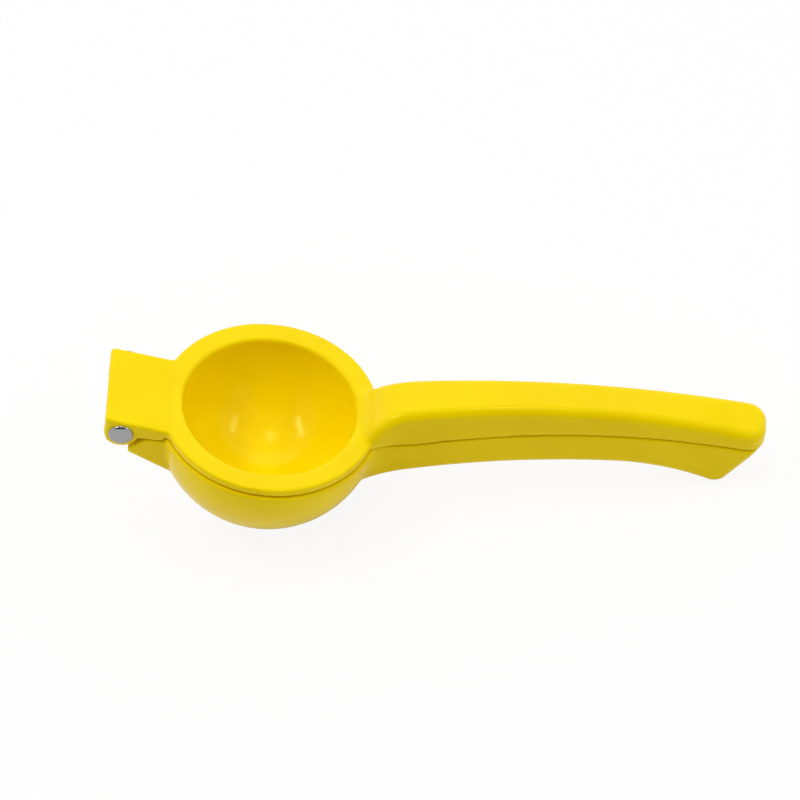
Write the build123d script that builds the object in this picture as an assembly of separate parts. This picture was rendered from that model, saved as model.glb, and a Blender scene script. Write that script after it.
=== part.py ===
from build123d import *
import math
import os

# Lemon squeezer: two cast levers on one rivet. The press cup of the upper lever nests in the
# strainer bowl of the lower lever. All lengths are in millimetres.
# The levers are drawn closed with the cup's rim level: X runs from the hinge to the handles'
# end, Z is up, and the centre of the rim's top face is the origin. At the end of this file the
# whole squeezer is laid down on its bowl and its handle's tip.

# Press cup
RIM_T = 2.6              # thickness of the cup's rim
RIM_EDGE = 0.5           # rounding of the rim's upper edge
RIM_STEP = 0.65          # bowl's outer edge in to the rim's outer edge
RIM_W = 6.72             # width of the rim's top face, from its outer edge to the cup's mouth
MOUTH_EDGE = 1.0         # rounding of the mouth's edge
CUP_DEPTH = 25.0         # rim's top face to the inside of the cup's bottom
CUP_WALL = 2.4           # wall of the cup's dome

# Strainer bowl
BOWL_R = 33.75           # outer radius of the bowl
BOWL_STRAIGHT = 2.0      # straight wall below the bowl's lip
BOWL_WALL = 3.5          # wall of the bowl
FOOT_CUT = 1.5           # height of the cap that the flat foot takes off the bowl
DRAIN_R = 2.0            # radius of a drain hole
DRAIN_RING_R = 7.0       # distance from one ring of drain holes to the next
DRAIN_RINGS = 1          # rings of drain holes about the middle one
DRAIN_STEP = 6           # drain holes that each ring adds

# Seam between the closed levers
SEAM = 0.5               # gap between the levers
SEAM_EDGE = 0.4          # rounding of the edges along the seam

# Hinge block, measured from the bowl's outer edge
BLOCK_REACH = 15.45      # bowl's outer edge to the block's end
BLOCK_W = 29.0           # width of the block
BLOCK_T = 4.0            # rim's top face to the block's underside, over the neck
BLOCK_RISE = 3.2         # rise of the block's top from the rim to its end
BLOCK_CORNER = 1.6       # rounding of the block's end corners, seen from above
BLOCK_EDGE = 0.6         # rounding of the block's upper edges
BLOCK_FLARE = 2.0        # hollow rounding between the block and the rim
EAR_R = 5.2              # round of the ears about the rivet
PIN_DROP = 2.8           # rim's top face to the rivet's axis
TONGUE_W = 17.0          # width of the lower lever's tongue
TONGUE_R = 3.3           # round of the tongue about the rivet
TONGUE_GAP = 0.4         # clearance all round the tongue
SEAT_GAP = 1.0           # clearance between an ear and the neck's seat below it
SEAT_SLOPE = 38.2        # slope of that seat, in degrees
NECK_TOE = 2.6           # rivet's axis to the neck's tip, along X
NECK_HEEL = 7.7          # rivet's axis down to the neck's underside at its tip
NECK_DROP = 21.0         # rim's top face to the neck's underside, inside the bowl

# Rivet and the washer under its formed tail
RIVET_R = 2.0            # shank radius
RIVET_FIT = 0.05         # radial clearance of the shank in its holes
HEAD_R = 3.8             # radius of the factory head
HEAD_H = 1.1             # height of the factory head
HEAD_EDGE = 0.8          # rounding of the factory head
TAIL_R = 3.3             # radius of the formed tail
TAIL_H = 1.3             # height of the formed tail
TAIL_EDGE = 0.8          # rounding of the formed tail
WASHER_R = 4.1           # radius of the washer
WASHER_T = 0.8           # thickness of the washer

# Handles seen from above, measured from the bowl's outer edge
HANDLE_L = 115.05        # bowl's outer edge to the handles' end
ROOT_W = 46.0            # width of the upper handle's flared root, inside the rim
LOWER_ROOT_W = 27.0      # width of the lower handle's root, inside the bowl
NECKING_X = 7.95         # where the flare of the root starts
NECKING_W = 15.7         # width there
WAIST_X = 58.45          # where the handles are narrowest
WAIST_W = 13.4           # width there
GRIP_W = 15.2            # width at the end
END_CORNER = 5.8         # rounding of the end's corners

# Handles seen from the side, measured from the bowl's outer edge and the rim's top face
SHOULDER_GAP = 1.1       # mouth's edge to the foot of the shoulder
SHOULDER_RUN = 1.6       # foot of the shoulder to the end of its hollow
SHOULDER_Z = 0.93
CREST_X = 9.05           # top of the shoulder
CREST_Z = 11.4
TOP_END_Z = 16.9         # height of the upper handle at its end
SEAM_START_X = 2.55      # where the seam leaves the rim's plane
SEAM_RISE_X = 13.55      # end of the seam's first bend
SEAM_RISE = 1.7          # height gained in that bend
SEAM_END_Z = 10.4        # height of the seam at the handles' end
BELLY_DROP = 22.6        # rim's top face to the lower handle's underside at its root
BELLY_R = 310.0          # radius of the long underside arch
BELLY_X = 44.5           # handles' end back to the end of that arch
BELLY_Z = -2.5
HOOK_X = 15.2            # handles' end back to the start of the finger hook's round
HOOK_Z = -5.8
HEEL_X = 5.5             # run of that round, and its rise
HEEL_Z = 2.0
END_LEAN = 1.2           # how far the lower handle stops short of the end at the seam
GRIP_EDGE = 2.8          # rounding of the handles' long edges
UPRIGHT = 0.2            # rise of a face's normal below which the face counts as a side

# Cored pockets in the handles' mating faces
POCKET_START = 20.45     # bowl's outer edge to the pocket
POCKET_END = 12.0        # handles' end to the pocket
POCKET_W = 7.6
POCKET_DEPTH = 5.0
POCKET_CORNER = 2.0

# Places worked out from the sizes above
half_seam = SEAM / 2
rim_r = BOWL_R - RIM_STEP
mouth_r = rim_r - RIM_W
seam_z = -RIM_T - half_seam
lip_z = -RIM_T - SEAM
pin_x = -BOWL_R - BLOCK_REACH + EAR_R
pin_z = -PIN_DROP
end_x = BOWL_R + HANDLE_L
deep = 2 * BOWL_R
hidden_x = math.sqrt(mouth_r ** 2 - (BLOCK_W / 2) ** 2)
cup_r = (mouth_r ** 2 + CUP_DEPTH ** 2) / (2 * CUP_DEPTH)
cup_z = cup_r - CUP_DEPTH
ball_z = lip_z - BOWL_STRAIGHT
foot_z = ball_z - BOWL_R + FOOT_CUT
foot_r = math.sqrt(BOWL_R ** 2 - (BOWL_R - FOOT_CUT) ** 2)


# Solid of a closed side-view outline, centred on the levers' middle plane
def side_solid(outline, width):
    return extrude(Plane.XZ * make_face(outline), width / 2, both=True)


# Round bar along Y about the rivet's axis
def pin_round(radius, width):
    return Pos(pin_x, 0, pin_z) * Rot(90, 0, 0) * Cylinder(radius, width)


# Round bar along Z that hangs down from a height
def hanging_round(radius, top, height):
    return Pos(0, 0, top) * Cylinder(radius, height, align=(Align.CENTER, Align.CENTER, Align.MAX))


# Edges where a handle's faces that a test picks meet its upright sides
def grip_edges(solid, test):
    picked = solid.faces().filter_by(lambda face: test(face.normal_at().Z))
    sides = solid.faces().filter_by(lambda face: abs(face.normal_at().Z) < UPRIGHT)
    outer = sides.filter_by(lambda face: face.normal_at().X > -1 + UPRIGHT)
    return picked.edges() & outer.edges()


# A round and the hinge block seen from above, with hollow corners between them
def rim_plan(radius):
    block_l = BOWL_R + BLOCK_REACH
    block = Pos(-block_l / 2, 0) * Rectangle(block_l, BLOCK_W)
    outline = Circle(radius) + block
    corners = outline.vertices().filter_by(lambda corner: abs(corner.Y) > BLOCK_CORNER).sort_by(Axis.X)
    outline = fillet(corners[2:4], BLOCK_FLARE)
    corners = outline.vertices().filter_by(lambda corner: abs(corner.Y) > BLOCK_CORNER).sort_by(Axis.X)
    return fillet(corners[:2], BLOCK_CORNER)


# The handles' seam from the root to the end, raised by an offset
def seam_lines(offset):
    start = (hidden_x, seam_z + offset)
    level = (BOWL_R + SEAM_START_X, seam_z + offset)
    rise = (BOWL_R + SEAM_RISE_X, seam_z + SEAM_RISE + offset)
    end = (end_x, SEAM_END_Z + offset)
    flat = Line(start, level)
    bend = TangentArc(level, rise, tangent=(1, 0))
    arch = TangentArc(rise, end, tangent=bend % 1)
    return [flat, bend, arch]


# Everything between a handle's side of the seam and a height
def beside_seam(offset, height):
    seam = seam_lines(offset)
    far = [(end_x, height), (hidden_x, height)]
    return side_solid(seam + [Line(seam[-1] @ 1, far[0]), Line(*far), Line(far[1], seam[0] @ 0)], deep)


# A handle seen from above, as one tall block
def handle_plan(root_w):
    root = (hidden_x, root_w / 2)
    necking = (BOWL_R + NECKING_X, NECKING_W / 2)
    waist = (BOWL_R + WAIST_X, WAIST_W / 2)
    grip = (end_x, GRIP_W / 2)
    side = ThreePointArc(necking, waist, grip)
    flare = TangentArc(necking, root, tangent=-(side % 0))
    middle = Line((end_x, 0), (hidden_x, 0))
    half = make_face([flare, side, Line(grip, middle @ 0), middle, Line(middle @ 1, root)])
    outline = half + mirror(half, about=Plane.XZ)
    corners = outline.vertices().sort_by(Axis.X)[-2:]
    return extrude(fillet(corners, END_CORNER), deep, both=True)


# Pocket cored out of a handle's mating face, above or below the seam
def pocket(direction):
    near = seam_lines(-direction * SEAM)
    far = seam_lines(direction * POCKET_DEPTH)
    ends = [Line(near[0] @ 0, far[0] @ 0), Line(near[-1] @ 1, far[-1] @ 1)]
    start = BOWL_R + POCKET_START
    length = end_x - POCKET_END - start
    plan = Pos(start + length / 2, 0) * RectangleRounded(length, POCKET_W, POCKET_CORNER)
    return side_solid(near + far + ends, deep) & extrude(plan, deep, both=True)


def upper_handle():
    foot = (mouth_r + SHOULDER_GAP, 0)
    hollow = (foot[0] + SHOULDER_RUN, SHOULDER_Z)
    crest = (BOWL_R + CREST_X, CREST_Z)
    top_end = (end_x, TOP_END_Z)
    root_top = (hidden_x, 0)
    floor = [(hidden_x, -BOWL_R), (end_x, -BOWL_R)]
    rise = TangentArc(foot, hollow, tangent=(1, 0))
    shoulder = TangentArc(hollow, crest, tangent=rise % 1)
    top = TangentArc(crest, top_end, tangent=shoulder % 1)
    ends = [Line(foot, root_top), Line(root_top, floor[0]), Line(*floor), Line(floor[1], top_end)]
    solid = side_solid([top, shoulder, rise] + ends, deep) & handle_plan(ROOT_W)
    solid = fillet(grip_edges(solid, lambda rise: rise > UPRIGHT), GRIP_EDGE)
    return solid & beside_seam(half_seam, deep)


# Lower handle, and the round of its tip that the squeezer lies on
def lower_handle():
    root_low = (hidden_x, -BELLY_DROP)
    belly_end = (end_x - BELLY_X, BELLY_Z)
    hook = (end_x - HOOK_X, HOOK_Z)
    heel = (hook[0] + HEEL_X, HOOK_Z + HEEL_Z)
    belly = RadiusArc(root_low, belly_end, BELLY_R)
    arch = TangentArc(belly_end, hook, tangent=belly % 1)
    tip = TangentArc(hook, heel, tangent=arch % 1)
    lean = TangentArc(heel, (end_x - END_LEAN, SEAM_END_Z), tangent=tip % 1)
    lean_end = (end_x, deep)
    roof = (hidden_x, deep)
    outline = [belly, arch, tip, lean, Line(lean @ 1, lean_end), Line(lean_end, roof), Line(roof, root_low)]
    solid = side_solid(outline, deep) & beside_seam(-half_seam, -deep) & handle_plan(LOWER_ROOT_W)
    return fillet(grip_edges(solid, lambda rise: rise < -UPRIGHT), GRIP_EDGE), tip


# Sloped top of the hinge block, with the flares that run out on the rim
def block_top():
    flare_r = rim_r + BLOCK_FLARE
    flare_y = BLOCK_W / 2 + BLOCK_FLARE
    flare_end = math.sqrt(flare_r ** 2 - flare_y ** 2) * rim_r / flare_r
    block_end = BOWL_R + BLOCK_REACH
    level = [(-flare_end, -RIM_T), (-flare_end, 0)]
    end = [(-block_end, BLOCK_RISE), (-block_end, -RIM_T)]
    solid = side_solid(Polyline(*level, *end, close=True), deep) & extrude(rim_plan(rim_r), deep, both=True)
    edges = solid.faces().sort_by(lambda face: face.normal_at().Z)[-1].edges().sort_by(Axis.X)[:-1]
    return fillet(edges, BLOCK_EDGE)


# Rim, dome and the top of the hinge block
def press_cup():
    rim = hanging_round(rim_r, 0, RIM_T)
    rim = fillet(rim.edges().sort_by(Axis.Z)[-1], RIM_EDGE)
    rim = fillet(rim.edges().sort_by(Axis.Z)[0], SEAM_EDGE)
    dome = Pos(0, 0, cup_z) * Sphere(cup_r + CUP_WALL)
    return rim + block_top() + (dome & hanging_round(deep, -RIM_T, deep))


# Lower part of the hinge block: the thick plate and the two ears beside the tongue
def ears():
    block_l = BOWL_R + BLOCK_REACH - hidden_x
    plate = Pos(-hidden_x, 0, -BLOCK_EDGE) * Box(
        block_l, BLOCK_W, BLOCK_T - BLOCK_EDGE, align=(Align.MAX, Align.CENTER, Align.MAX))
    end = Pos(pin_x, 0, -BLOCK_EDGE) * Box(
        EAR_R, BLOCK_W, PIN_DROP - BLOCK_EDGE, align=(Align.MAX, Align.CENTER, Align.MAX))
    solid = (plate + end + pin_round(EAR_R, BLOCK_W)) & extrude(rim_plan(rim_r), -deep)
    slot_r = TONGUE_R + TONGUE_GAP
    slot_w = TONGUE_W + 2 * TONGUE_GAP
    slot_top = pin_z + slot_r
    behind = Pos(pin_x, 0, slot_top) * Box(deep, slot_w, deep, align=(Align.MAX, Align.CENTER, Align.MAX))
    seat_r = EAR_R + SEAT_GAP
    under = Pos(pin_x, 0, -BLOCK_T) * Box(seat_r, slot_w, deep, align=(Align.MIN, Align.CENTER, Align.MAX))
    return solid - hanging_round(BOWL_R + SEAM, -RIM_T, deep), pin_round(slot_r, slot_w) + behind + under


def upper_lever():
    ear_solid, slot = ears()
    solid = press_cup() + ear_solid + upper_handle() - slot
    solid -= Pos(0, 0, cup_z) * Sphere(cup_r)
    rounds = solid.edges().filter_by(GeomType.CIRCLE).filter_by(lambda edge: edge.arc_center.length < SEAM)
    mouth = rounds.filter_by(lambda edge: abs(edge.radius - mouth_r) < SEAM)
    solid = fillet(mouth, MOUTH_EDGE) - pocket(1)
    return solid - pin_round(RIVET_R + RIVET_FIT, deep)


# Neck that hangs the bowl on the rivet: a gusset below the block and the tongue between the ears
def neck():
    top = -BLOCK_T - SEAM
    slope = math.radians(SEAT_SLOPE)
    seat_low = pin_z - (EAR_R + SEAT_GAP) / math.cos(slope)
    seat_end = (pin_x + (top - seat_low) / math.tan(slope), top)
    toe_x = pin_x + NECK_TOE
    toe_top = (toe_x, seat_low + NECK_TOE * math.tan(slope))
    toe = (toe_x, pin_z - NECK_HEEL)
    back = [(-hidden_x, -NECK_DROP), (-hidden_x, top)]
    gusset = side_solid(Polyline(seat_end, toe_top, toe, *back, close=True), BLOCK_W)
    under = (pin_x, pin_z - TONGUE_R)
    tongue = side_solid(Polyline((pin_x, top), under, toe, *back, close=True), TONGUE_W)
    return (gusset & extrude(rim_plan(BOWL_R), -deep)) + tongue + pin_round(TONGUE_R, TONGUE_W)


# Outside of the bowl: a short straight wall, a ball and a flat foot
def bowl():
    ball = Pos(0, 0, ball_z) * Sphere(BOWL_R)
    wall = hanging_round(BOWL_R, lip_z, BOWL_STRAIGHT)
    solid = wall + (ball & hanging_round(deep, ball_z, BOWL_R - FOOT_CUT))
    return fillet(solid.edges().sort_by(Axis.Z)[-1], SEAM_EDGE)


def bowl_inside():
    radius = BOWL_R - BOWL_WALL
    return Pos(0, 0, ball_z) * Sphere(radius) + hanging_round(radius, lip_z + SEAM, BOWL_STRAIGHT + SEAM)


# Drain holes in rings about the middle of the foot
def drains():
    holes = hanging_round(DRAIN_R, ball_z, deep)
    for ring in range(1, DRAIN_RINGS + 1):
        spots = PolarLocations(ring * DRAIN_RING_R, ring * DRAIN_STEP)
        holes += spots * hanging_round(DRAIN_R, ball_z, deep)
    return holes


def lower_lever():
    handle, tip = lower_handle()
    solid = bowl() + neck() + handle - bowl_inside() - drains() - pocket(-1)
    return solid - pin_round(RIVET_R + RIVET_FIT, deep), tip


# Rivet: factory head on the near side, shank, and the tail formed over the washer
def hinge_rivet():
    shank_l = BLOCK_W + WASHER_T
    head = fillet(Cylinder(HEAD_R, HEAD_H).edges().sort_by(Axis.Z)[-1], HEAD_EDGE)
    tail = fillet(Cylinder(TAIL_R, TAIL_H).edges().sort_by(Axis.Z)[0], TAIL_EDGE)
    shank = Pos(0, 0, -shank_l / 2) * Cylinder(RIVET_R, shank_l)
    solid = Pos(0, 0, HEAD_H / 2) * head + shank + Pos(0, 0, -shank_l - TAIL_H / 2) * tail
    return Pos(pin_x, -BLOCK_W / 2, pin_z) * Rot(90, 0, 0) * solid


def rivet_washer():
    ring = Cylinder(WASHER_R, WASHER_T) - Cylinder(RIVET_R + RIVET_FIT, WASHER_T)
    return Pos(pin_x, BLOCK_W / 2 + WASHER_T / 2, pin_z) * Rot(90, 0, 0) * ring


lower, tip = lower_lever()
nodes = {
    "lower_lever": lower,
    "upper_lever": upper_lever(),
    "hinge_rivet": hinge_rivet(),
    "rivet_washer": rivet_washer(),
}

# Laid down, the squeezer touches the table with the edge of the bowl's foot and the handle's tip
reach = tip.arc_center - Vector(foot_r, foot_z)
lie_angle = math.degrees(math.atan2(reach.Y, reach.X) - math.asin(tip.radius / reach.length))
laid = {name: Rot(0, lie_angle, 0) * solid for name, solid in nodes.items()}
box = Compound(list(laid.values())).bounding_box()
shift = Pos(-box.center().X, 0, -box.min.Z)

os.makedirs("parts", exist_ok=True)
for name, solid in laid.items():
    placed = shift * solid
    print(name, placed.is_valid, len(placed.solids()), round(placed.volume), placed.bounding_box())
    export_step(placed, "parts/" + name + ".step")

pin = shift * Rot(0, lie_angle, 0) * Pos(pin_x, 0, pin_z)
print("lie angle", lie_angle, "rivet axis", pin.position)
print("rim centre", (shift * Rot(0, lie_angle, 0)).position)
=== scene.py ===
import math

import bmesh
import bpy
from mathutils import Matrix, Vector


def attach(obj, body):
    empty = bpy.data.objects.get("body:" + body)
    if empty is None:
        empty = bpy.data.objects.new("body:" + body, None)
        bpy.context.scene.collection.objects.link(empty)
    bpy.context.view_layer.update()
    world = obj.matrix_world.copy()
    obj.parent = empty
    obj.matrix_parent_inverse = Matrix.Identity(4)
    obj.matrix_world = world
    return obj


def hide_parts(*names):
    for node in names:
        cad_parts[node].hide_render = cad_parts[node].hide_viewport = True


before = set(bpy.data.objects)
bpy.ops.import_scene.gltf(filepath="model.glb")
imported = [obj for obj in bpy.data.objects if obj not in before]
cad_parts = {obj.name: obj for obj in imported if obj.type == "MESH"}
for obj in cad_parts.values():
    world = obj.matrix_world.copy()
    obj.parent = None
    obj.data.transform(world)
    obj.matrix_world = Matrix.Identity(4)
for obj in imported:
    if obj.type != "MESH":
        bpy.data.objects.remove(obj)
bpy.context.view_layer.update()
mm = 0.001
scene = bpy.context.scene
print("frame loaded:", sorted(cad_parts))

# How the squeezer lies: the rim's plane is tipped about Y, and every drawing size is taken from the rim
lying = {"tip": 13.98073, "rimCentre": (-49.6314, 0.0, 38.6474), "pin": (-44.0, 0.0, -2.8)}
tipped = Matrix.Rotation(math.radians(lying["tip"]), 4, "Y")
rimToTable = Matrix.Translation(Vector(lying["rimCentre"]) * mm) @ tipped
tableToRim = rimToTable.inverted()
pinOnTable = rimToTable @ (Vector(lying["pin"]) * mm)
weld = 0.002 * mm  # points closer than this are one


def linear(hexText):
    # sRGB hex to the linear colour that Blender's sockets take
    out = []
    for i in (0, 2, 4):
        c = int(hexText[i:i + 2], 16) / 255
        out.append(c / 12.92 if c <= 0.04045 else ((c + 0.055) / 1.055) ** 2.4)
    return (*out, 1.0)


def addNode(tree, kind, settings=None, values=None, links=None):
    # one node with its settings, its socket values and what feeds it
    node = tree.nodes.new(kind)
    for name, value in (settings or {}).items():
        setattr(node, name, value)
    for socket, value in (values or {}).items():
        node.inputs[socket].default_value = value
    for socket, source in (links or {}).items():
        tree.links.new(source, node.inputs[socket])
    return node


def newMaterial(name):
    made = bpy.data.materials.new(name)
    made.use_nodes = True
    made.node_tree.nodes.clear()
    return made, made.node_tree


def newObject(name, bm):
    mesh = bpy.data.meshes.new(name)
    bm.to_mesh(mesh)
    bm.free()
    made = bpy.data.objects.new(name, mesh)
    scene.collection.objects.link(made)
    return made


def finishPiece(piece, body, node, material):
    for polygon in piece.data.polygons:
        polygon.use_smooth = True
    piece.data.materials.clear()
    piece.data.materials.append(material)
    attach(piece, body)
    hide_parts(node)


# Baked enamel on cast aluminium: sprayed thick and stoved, so the film is even, soft at the edges,
# satin to the eye and faintly rippled like orange peel, with a few pin-head specks in it.
enamel = {
    "colour": "F8D900", "thinColour": "FADD06", "deepColour": "F5D400",
    "cloudMm": 22.0, "deepBelow": 0.30, "plainAt": 0.5, "thinAbove": 0.72,
    "roughness": 0.145, "roughSpread": 0.03, "ior": 1.5, "gloss": 0.18, "sheenColour": "FFF08C",
    "peelMm": 1.4, "peelHeightMm": 0.008,
    "speckGapMm": 14.4, "speckMm": 0.72, "speckHeightMm": 0.008,
}


def enamelMaterial(s):
    made, tree = newMaterial("yellow_stoved_enamel")
    place = addNode(tree, "ShaderNodeTexCoord").outputs["Object"]
    # slow clouds of film thickness
    cloud = addNode(tree, "ShaderNodeTexNoise", {"noise_dimensions": "3D"},
                    {"Scale": 1 / (s["cloudMm"] * mm), "Detail": 3.0, "Roughness": 0.5}, {"Vector": place})
    shade = addNode(tree, "ShaderNodeValToRGB", None, None, {"Fac": cloud.outputs["Fac"]})
    deep, thin = shade.color_ramp.elements
    deep.position, deep.color = s["deepBelow"], linear(s["deepColour"])
    thin.position, thin.color = s["thinAbove"], linear(s["thinColour"])
    shade.color_ramp.elements.new(s["plainAt"]).color = linear(s["colour"])
    # orange peel, drawn about twice as coarse as the real film so that it shows
    peel = addNode(tree, "ShaderNodeTexNoise", {"noise_dimensions": "3D"},
                   {"Scale": 1 / (s["peelMm"] * mm), "Detail": 1.5, "Roughness": 0.4}, {"Vector": place})
    smooth, rough = s["roughness"] - s["roughSpread"], s["roughness"] + s["roughSpread"]
    gloss = addNode(tree, "ShaderNodeMapRange", None, {"To Min": smooth, "To Max": rough},
                    {"Value": peel.outputs["Fac"]})
    specks = addNode(tree, "ShaderNodeTexVoronoi", {"feature": "F1"},
                     {"Scale": 1 / (s["speckGapMm"] * mm)}, {"Vector": place})
    nib = addNode(tree, "ShaderNodeMapRange", None,
                  {"From Min": 0.0, "From Max": s["speckMm"] / s["speckGapMm"], "To Min": 1.0, "To Max": 0.0},
                  {"Value": specks.outputs["Distance"]})
    ripple = addNode(tree, "ShaderNodeBump", None, {"Strength": 1.0, "Distance": s["peelHeightMm"] * mm},
                     {"Height": peel.outputs["Fac"]})
    nibs = addNode(tree, "ShaderNodeBump", None, {"Strength": 1.0, "Distance": s["speckHeightMm"] * mm},
                   {"Height": nib.outputs["Result"], "Normal": ripple.outputs["Normal"]})
    sheen = linear(s["sheenColour"])
    shader = addNode(tree, "ShaderNodeBsdfPrincipled", None,
                     {"IOR": s["ior"], "Specular IOR Level": s["gloss"], "Specular Tint": sheen},
                     {"Base Color": shade.outputs["Color"], "Roughness": gloss.outputs["Result"],
                      "Normal": nibs.outputs["Normal"]})
    addNode(tree, "ShaderNodeOutputMaterial", None, None, {"Surface": shader.outputs["BSDF"]})
    return made


# Polished stainless steel: turned, then buffed, so it mirrors the room with faint rings left by the tool
steel = {"colour": "A2A2A5", "roughness": 0.13, "roughSpread": 0.05, "ringMm": 0.35, "ringHeightMm": 0.0012,
         "scuffMm": 0.8}


def steelMaterial(s):
    made, tree = newMaterial("polished_stainless_steel")
    place = addNode(tree, "ShaderNodeTexCoord").outputs["Object"]
    centred = addNode(tree, "ShaderNodeMapping", {"vector_type": "POINT"}, {"Location": -pinOnTable},
                      {"Vector": place})
    # a wave's ring period is 1 / (scale x 20 / 2 pi)
    rings = addNode(tree, "ShaderNodeTexWave",
                    {"wave_type": "RINGS", "rings_direction": "Y", "wave_profile": "SIN"},
                    {"Scale": math.pi / 10 / (s["ringMm"] * mm), "Distortion": 0.4, "Detail": 1.0},
                    {"Vector": centred.outputs["Vector"]})
    scuffs = addNode(tree, "ShaderNodeTexNoise", {"noise_dimensions": "3D"},
                     {"Scale": 1 / (s["scuffMm"] * mm), "Detail": 4.0}, {"Vector": place})
    smooth, rough = s["roughness"] - s["roughSpread"], s["roughness"] + s["roughSpread"]
    gloss = addNode(tree, "ShaderNodeMapRange", None, {"To Min": smooth, "To Max": rough},
                    {"Value": scuffs.outputs["Fac"]})
    turned = addNode(tree, "ShaderNodeBump", None, {"Strength": 1.0, "Distance": s["ringHeightMm"] * mm},
                     {"Height": rings.outputs["Fac"]})
    shader = addNode(tree, "ShaderNodeBsdfPrincipled", None,
                     {"Base Color": linear(s["colour"]), "Metallic": 1.0},
                     {"Roughness": gloss.outputs["Result"], "Normal": turned.outputs["Normal"]})
    addNode(tree, "ShaderNodeOutputMaterial", None, None, {"Surface": shader.outputs["BSDF"]})
    return made


yellowEnamel = enamelMaterial(enamel)
polishedSteel = steelMaterial(steel)
print("materials made")


# The two castings. The solid gives the form; a fine even skin with soft edges and filled inner
# corners, as sand, shot and enamel leave them, is laid over it.
skin = {"gridDepth": 9, "softPasses": 2, "softShare": 0.5, "hollowMm": 0.01, "fillShare": 0.9}
# corners are boxes from the rim's centre in mm, the same on both sides of the middle
castings = {
    "upper_lever": {"gridShare": 0.72, "fillPasses": 140, "fillRings": 12,
                    "corners": [((27.0, 0.0, -2.0), (47.0, 24.0, 10.0)),      # handle into the rim
                                ((-36.0, 12.0, -2.2), (-26.0, 20.0, 3.0))]},  # block into the rim
    "lower_lever": {"gridShare": 0.66, "fillPasses": 100, "fillRings": 9,
                    "corners": [((20.0, 0.0, -30.0), (47.0, 22.0, -3.8))]},   # handle into the bowl
}


def inCorner(co, corners):
    place = tableToRim @ co / mm
    for low, high in corners:
        if low[0] < place.x < high[0] and low[1] <= abs(place.y) < high[1] and low[2] < place.z < high[2]:
            return True
    return False


def hollowness(vert):
    # how far the skin round a point stands above it
    mean = Vector()
    for edge in vert.link_edges:
        mean += edge.other_vert(vert).co
    return (mean / len(vert.link_edges) - vert.co).dot(vert.normal)


def evenSkin(node, s):
    # a welded copy of the solid's mesh, cut anew into small even faces
    bm = bmesh.new()
    bm.from_mesh(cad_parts[node].data)
    bmesh.ops.remove_doubles(bm, verts=bm.verts, dist=weld)
    piece = newObject(node + "_casting", bm)
    solidMesh = piece.data
    even = piece.modifiers.new("evenSkin", "REMESH")
    even.mode = "SHARP"
    even.octree_depth = skin["gridDepth"]
    even.scale = s["gridShare"]
    even.use_remove_disconnected = False
    graph = bpy.context.evaluated_depsgraph_get()
    piece.data = bpy.data.meshes.new_from_object(piece.evaluated_get(graph))
    piece.modifiers.clear()
    bpy.data.meshes.remove(solidMesh)
    return piece


def softenSkin(piece, s):
    bm = bmesh.new()
    bm.from_mesh(piece.data)
    for step in range(skin["softPasses"]):
        bmesh.ops.smooth_vert(bm, verts=bm.verts, factor=skin["softShare"],
                              use_axis_x=True, use_axis_y=True, use_axis_z=True)
    bm.normal_update()
    inside = [vert for vert in bm.verts if inCorner(vert.co, s["corners"])]
    hollow = {vert for vert in inside if hollowness(vert) > skin["hollowMm"] * mm}
    for ring in range(s["fillRings"]):
        hollow |= {edge.other_vert(vert) for vert in hollow for edge in vert.link_edges}
    # the corners are only ever filled, so the outer edges beside them stay
    for step in range(s["fillPasses"]):
        for vert, lift in [(vert, hollowness(vert)) for vert in hollow]:
            vert.co += vert.normal * max(lift, 0.0) * skin["fillShare"]
        for vert in hollow:
            vert.normal_update()
    print(piece.name, "skin:", len(bm.verts), "points,", len(hollow), "in filled corners")
    bm.to_mesh(piece.data)
    bm.free()


for lever, settings in castings.items():
    casting = evenSkin(lever, settings)
    softenSkin(casting, settings)
    finishPiece(casting, lever, lever, yellowEnamel)
print("castings skinned")


def lathe(bm, outline, steps):
    # turns an outline of (radius, place along the rivet) about the rivet's axis
    points = [bm.verts.new(pinOnTable + Vector((r * mm, y * mm, 0.0))) for r, y in outline]
    edges = [bm.edges.new(pair) for pair in zip(points, points[1:])]
    bmesh.ops.spin(bm, geom=points + edges, cent=pinOnTable, axis=(0, 1, 0), angle=2 * math.pi,
                   steps=steps, use_merge=True)
    bmesh.ops.remove_doubles(bm, verts=bm.verts, dist=weld)
    bmesh.ops.recalc_face_normals(bm, faces=bm.faces)


# Rivet: a domed pan head on the near side, the shank and the tail spread over the washer
rivet = {"shankR": 2.0, "steps": 96, "edgeSteps": 16, "seatEdge": 0.12,
         "headR": 3.8, "headEdge": (2.4, 0.95), "faceNear": -15.6, "seatNear": -14.5,
         "tailR": 3.3, "tailEdge": (1.6, 1.1), "faceFar": 16.6, "seatFar": 15.3}


def buttonEnd(s, faceY, seatY, radius, edge):
    # a low button from the middle of its face round to its seat, towards +Y where seatY is the larger;
    # its edge falls away in a quarter of an ellipse
    way = 1 if seatY > faceY else -1
    wide, tall = edge
    outline = [(0.0, faceY)]
    for i in range(s["edgeSteps"] + 1):
        turn = math.pi / 2 * i / s["edgeSteps"]
        outline.append((radius - wide + wide * math.sin(turn), faceY + way * tall * (1 - math.cos(turn))))
    outline += [(radius, seatY - way * s["seatEdge"]), (radius - s["seatEdge"], seatY), (s["shankR"], seatY)]
    return outline


def makeRivet(s):
    head = buttonEnd(s, s["faceNear"], s["seatNear"], s["headR"], s["headEdge"])
    tail = buttonEnd(s, s["faceFar"], s["seatFar"], s["tailR"], s["tailEdge"])
    bm = bmesh.new()
    lathe(bm, head + tail[::-1], s["steps"])
    piece = newObject("hinge_rivet_turned", bm)
    finishPiece(piece, "upper_lever", "hinge_rivet", polishedSteel)


# Washer: a plain pressed ring under the tail, with its corners broken
washer = {"holeR": 2.05, "outerR": 4.1, "near": 14.5, "far": 15.3, "edge": 0.15, "steps": 96}


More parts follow.
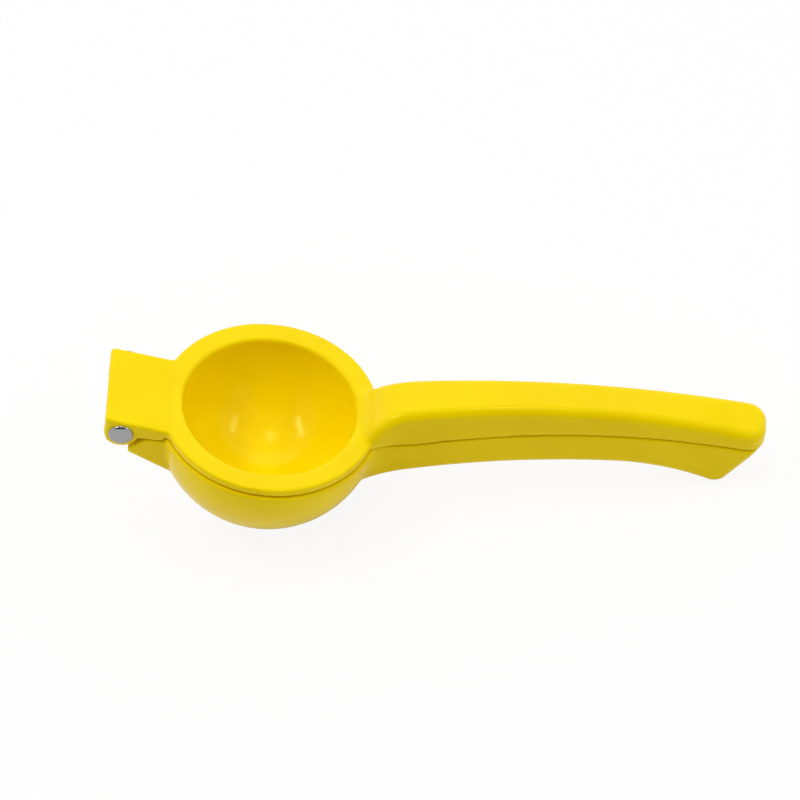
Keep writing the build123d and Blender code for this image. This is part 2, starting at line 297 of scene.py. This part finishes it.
def makeWasher(s):
    inner, outer, near, far, edge = s["holeR"], s["outerR"], s["near"], s["far"], s["edge"]
    outline = [(inner, near + edge), (inner + edge, near), (outer - edge, near), (outer, near + edge),
               (outer, far - edge), (outer - edge, far), (inner + edge, far), (inner, far - edge)]
    bm = bmesh.new()
    lathe(bm, outline + outline[:1], s["steps"])
    piece = newObject("rivet_washer_pressed", bm)
    finishPiece(piece, "upper_lever", "rivet_washer", polishedSteel)


makeRivet(rivet)
makeWasher(washer)
print("rivet and washer turned")


# A plain pale studio: white all round, a pale floor, soft lamps and a dark cloth behind the camera
studio = {
    "white": "FFFFFF", "worldLight": 0.66,
    # the floor shows this share of plain white to the camera and in reflections, and a soft shadow in the rest
    "floorSize": 4.0, "floorColour": "F4F4F4", "whiteShare": 0.9, "steelShare": 0.12,
    "cloth": {"colour": "202020", "across": 3.2, "low": 0.26, "high": 4.2, "away": 2.20},
    # direction from the cup, distance, width, length and power
    "lamps": {
        "overhead": ((0.143, 0.069, 0.987), 0.95, 0.19, 0.22, 1.0),
        "rightStrip": ((0.834, 0.0, 0.552), 0.95, 0.10, 0.40, 1.3),
        "leftStrip": ((-0.488, -0.050, 0.871), 0.95, 0.11, 0.46, 2.5),
        "farWindow": ((0.0, 0.71, 0.70), 1.4, 0.8, 1.2, 2.4),
    },
}


def seenWhite(tree, straight, mirrored):
    # share of plain white for rays from the camera, and for those from a reflection or through glass
    path = addNode(tree, "ShaderNodeLightPath")
    bent = addNode(tree, "ShaderNodeMath", {"operation": "ADD", "use_clamp": True}, None,
                   {0: path.outputs["Is Glossy Ray"], 1: path.outputs["Is Transmission Ray"]})
    bentShare = addNode(tree, "ShaderNodeMath", {"operation": "MULTIPLY"}, {1: mirrored},
                        {0: bent.outputs["Value"]})
    share = addNode(tree, "ShaderNodeMath", {"operation": "MULTIPLY_ADD", "use_clamp": True}, {1: straight},
                    {0: path.outputs["Is Camera Ray"], 2: bentShare.outputs["Value"]})
    return share.outputs["Value"]


def makeFloor(s):
    bm = bmesh.new()
    bmesh.ops.create_grid(bm, x_segments=1, y_segments=1, size=s["floorSize"] / 2)
    floor = newObject("floor", bm)
    made, tree = newMaterial("pale_floor")
    plain = addNode(tree, "ShaderNodeBsdfDiffuse", None, {"Color": linear(s["floorColour"])})
    white = addNode(tree, "ShaderNodeEmission", None, {"Color": linear(s["white"]), "Strength": 1.0})
    mixed = addNode(tree, "ShaderNodeMixShader", None, None,
                    {0: seenWhite(tree, s["whiteShare"], s["steelShare"]),
                     1: plain.outputs["BSDF"], 2: white.outputs["Emission"]})
    addNode(tree, "ShaderNodeOutputMaterial", None, None, {"Surface": mixed.outputs["Shader"]})
    floor.data.materials.append(made)


def makeCloth(s):
    # keeps the near sides a little darker than the tops and shows as a dark line in the rivet's edge
    bm = bmesh.new()
    bmesh.ops.create_grid(bm, x_segments=1, y_segments=1, size=0.5)
    bmesh.ops.scale(bm, vec=(s["across"], s["high"] - s["low"], 1.0), verts=bm.verts)
    bmesh.ops.rotate(bm, cent=(0, 0, 0), matrix=Matrix.Rotation(math.pi / 2, 3, "X"), verts=bm.verts)
    bmesh.ops.translate(bm, vec=(0.0, -s["away"], (s["low"] + s["high"]) / 2), verts=bm.verts)
    cloth = newObject("dark_cloth", bm)
    made, tree = newMaterial("black_cloth")
    dark = addNode(tree, "ShaderNodeBsdfDiffuse", None, {"Color": linear(s["colour"])})
    addNode(tree, "ShaderNodeOutputMaterial", None, None, {"Surface": dark.outputs["BSDF"]})
    cloth.data.materials.append(made)
    cloth.visible_camera = False


def makeWorld(s):
    world = bpy.data.worlds.new("studio")
    world.use_nodes = True
    tree = world.node_tree
    tree.nodes.clear()
    white = linear(s["white"])
    lit = addNode(tree, "ShaderNodeBackground", None, {"Color": white, "Strength": s["worldLight"]})
    seen = addNode(tree, "ShaderNodeBackground", None, {"Color": white, "Strength": 1.0})
    mixed = addNode(tree, "ShaderNodeMixShader", None, None,
                    {0: seenWhite(tree, 1.0, 1.0), 1: lit.outputs["Background"], 2: seen.outputs["Background"]})
    addNode(tree, "ShaderNodeOutputWorld", None, None, {"Surface": mixed.outputs["Shader"]})
    scene.world = world


def makeLamps(s):
    middle = Vector(lying["rimCentre"]) * mm
    for name, (way, distance, width, length, power) in s["lamps"].items():
        light = bpy.data.lights.new(name, "AREA")
        light.shape = "RECTANGLE"
        light.size, light.size_y = width, length
        light.energy = power
        light.color = linear(s["white"])[:3]
        lamp = bpy.data.objects.new(name, light)
        scene.collection.objects.link(lamp)
        toward = Vector(way).normalized()
        lamp.location = middle + toward * distance
        lamp.rotation_euler = (-toward).to_track_quat("-Z", "X").to_euler()


makeFloor(studio)
makeCloth(studio["cloth"])
makeWorld(studio)
makeLamps(studio)
print("studio set")

# Camera with a long lens, found from the ellipses of the rim and the mouth and the outline of the bowl
photoCamera = {"distanceMm": 3000.0, "lookDown": 49.456, "roll": 9.407, "turn": 4.6,
               "slideMm": (-39.155, 1.978), "lens": 448.2, "sensor": 36.0, "nearestMm": 10.0}


def makeCamera(s):
    look, roll = math.radians(s["lookDown"]), math.radians(s["roll"])
    right = Vector((1, 0, 0))
    up = Vector((0, math.sin(look), math.cos(look)))
    back = Vector((0, -math.cos(look), math.sin(look)))
    rollRight = right * math.cos(roll) + up * math.sin(roll)
    rollUp = up * math.cos(roll) - right * math.sin(roll)
    stand = Matrix((rollRight, rollUp, back)).transposed().to_4x4()
    slideRight, slideUp = s["slideMm"]
    stand.translation = (back * s["distanceMm"] - rollRight * slideRight + rollUp * slideUp) * mm
    data = bpy.data.cameras.new("photoCamera")
    data.lens = s["lens"]
    data.sensor_width = s["sensor"]
    data.clip_start = s["nearestMm"] * mm
    camera = bpy.data.objects.new("photoCamera", data)
    scene.collection.objects.link(camera)
    camera.matrix_world = rimToTable @ Matrix.Rotation(-math.radians(s["turn"]), 4, "Z") @ stand
    scene.camera = camera


makeCamera(photoCamera)
scene.view_settings.view_transform = "Standard"
print("camera placed")
